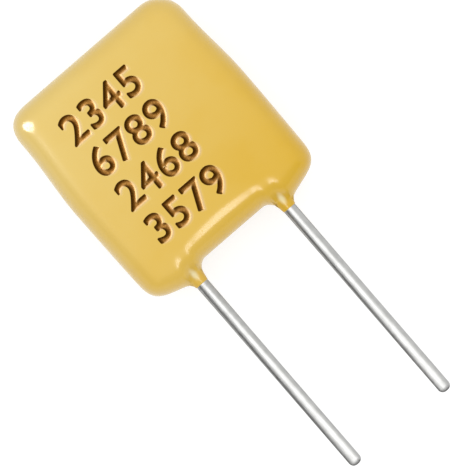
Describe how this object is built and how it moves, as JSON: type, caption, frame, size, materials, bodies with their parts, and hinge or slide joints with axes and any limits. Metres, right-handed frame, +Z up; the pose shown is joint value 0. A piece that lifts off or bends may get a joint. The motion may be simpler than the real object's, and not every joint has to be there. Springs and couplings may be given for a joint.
{
  "type": "radial-leaded dipped multilayer ceramic capacitor",
  "caption": "Dipped ceramic capacitor: a flat, rounded epoxy body with two straight tinned leads leaving the same edge, for through-hole soldering.",
  "frame": {"origin": "midway between the two lead axes across the part, at the middle of the overall length, on the flat back that the body rests on", "axes": "+X across the two leads, +Y along the leads from their cut ends to the top of the body, +Z up through the thickness; the part lies on its back"},
  "size_m": [0.0097, 0.0216, 0.0036],
  "materials": {
    "epoxy_coating": "smooth dipped epoxy, golden yellow, softly glossy",
    "ceramic": "fired, matt, tan",
    "termination_metal": "fired silver, slightly rough",
    "solder": "reflowed solder, satin",
    "tinned_wire": "bright tin with fine drawing lines along the wire",
    "electrode_metal": "fired metal film, dull"
  },
  "bodies": {
    "root": {"coating": "epoxy_coating", "ceramic_chip": "ceramic", "termination_left": "termination_metal", "termination_right": "termination_metal", "solder_left": "solder", "solder_right": "solder", "lead_left": "tinned_wire", "lead_right": "tinned_wire", "electrode_left_1": "electrode_metal", "electrode_left_2": "electrode_metal", "electrode_left_3": "electrode_metal", "electrode_left_4": "electrode_metal", "electrode_left_5": "electrode_metal", "electrode_right_1": "electrode_metal", "electrode_right_2": "electrode_metal", "electrode_right_3": "electrode_metal", "electrode_right_4": "electrode_metal", "electrode_right_5": "electrode_metal"}
  },
  "joints": []
}
